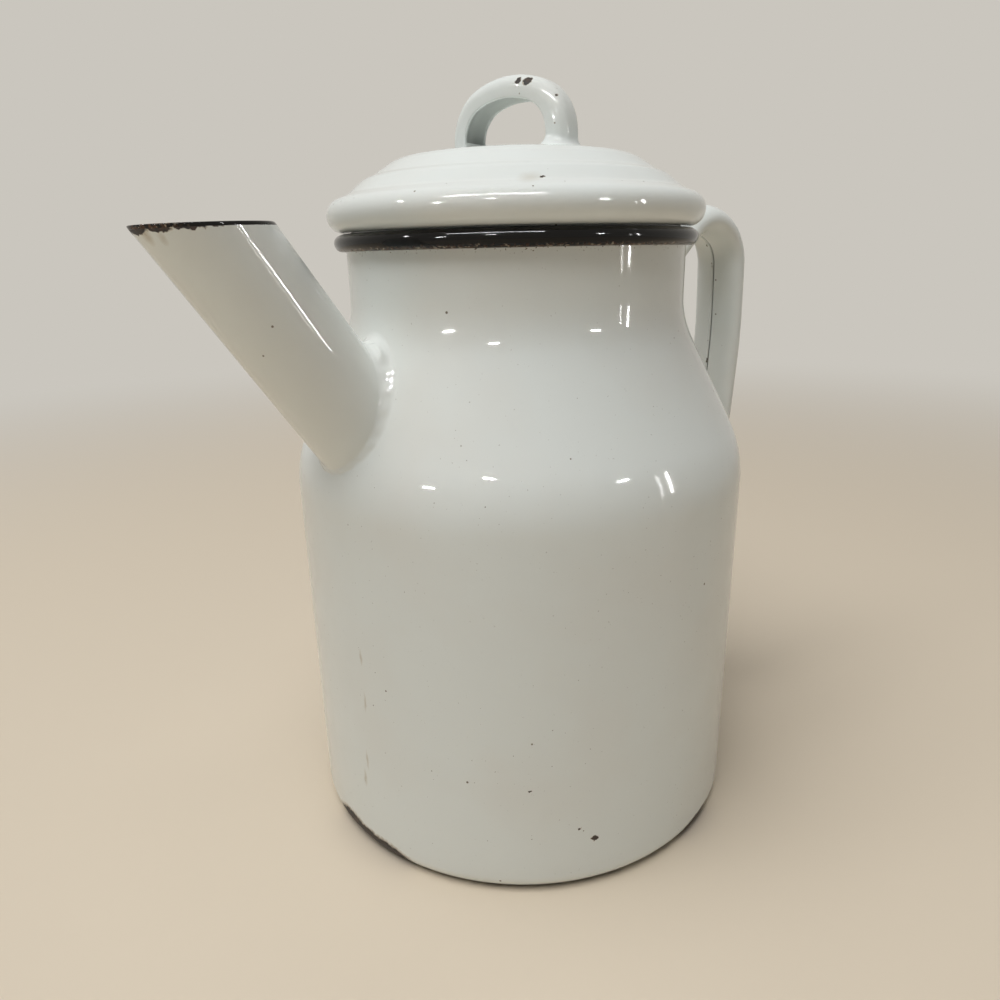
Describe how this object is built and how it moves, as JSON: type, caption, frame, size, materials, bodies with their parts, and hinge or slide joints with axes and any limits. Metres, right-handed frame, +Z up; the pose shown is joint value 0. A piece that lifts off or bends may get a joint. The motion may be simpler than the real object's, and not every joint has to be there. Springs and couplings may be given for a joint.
{
  "type": "coffee pot",
  "caption": "Enamelled sheet-steel coffee pot with a straight slanted spout, a hollow arched side handle and a loose lift-off lid with an arched grip.",
  "frame": {"origin": "centre of the flat standing ring under the pot, on the axis of the pot", "axes": "+Z up along the axis of the pot, +X towards the handle, the spout points along -X"},
  "size_m": [0.2022, 0.126, 0.1992],
  "materials": {
    "white_enamel": "glossy cool white vitreous enamel on sheet steel, worn, with small chips",
    "black_enamel": "glossy black vitreous enamel on the rim and the mouth of the spout"
  },
  "bodies": {
    "pot": {"pot_shell": "white_enamel", "rim_curl": "black_enamel", "spout_tube": "white_enamel", "spout_lip": "black_enamel", "spout_joint": "white_enamel", "handle_tube": "white_enamel", "handle_top_joint": "white_enamel", "handle_foot_joint": "white_enamel"},
    "lid": {"lid_dome": "white_enamel", "lid_collar": "white_enamel", "lid_loop": "white_enamel", "loop_joints": "white_enamel"}
  },
  "joints": [
    {"name": "lid_lift", "type": "slide", "parent": "pot", "child": "lid", "axis": [0, 0, 1], "range_m": [0, 0.04]}
  ]
}
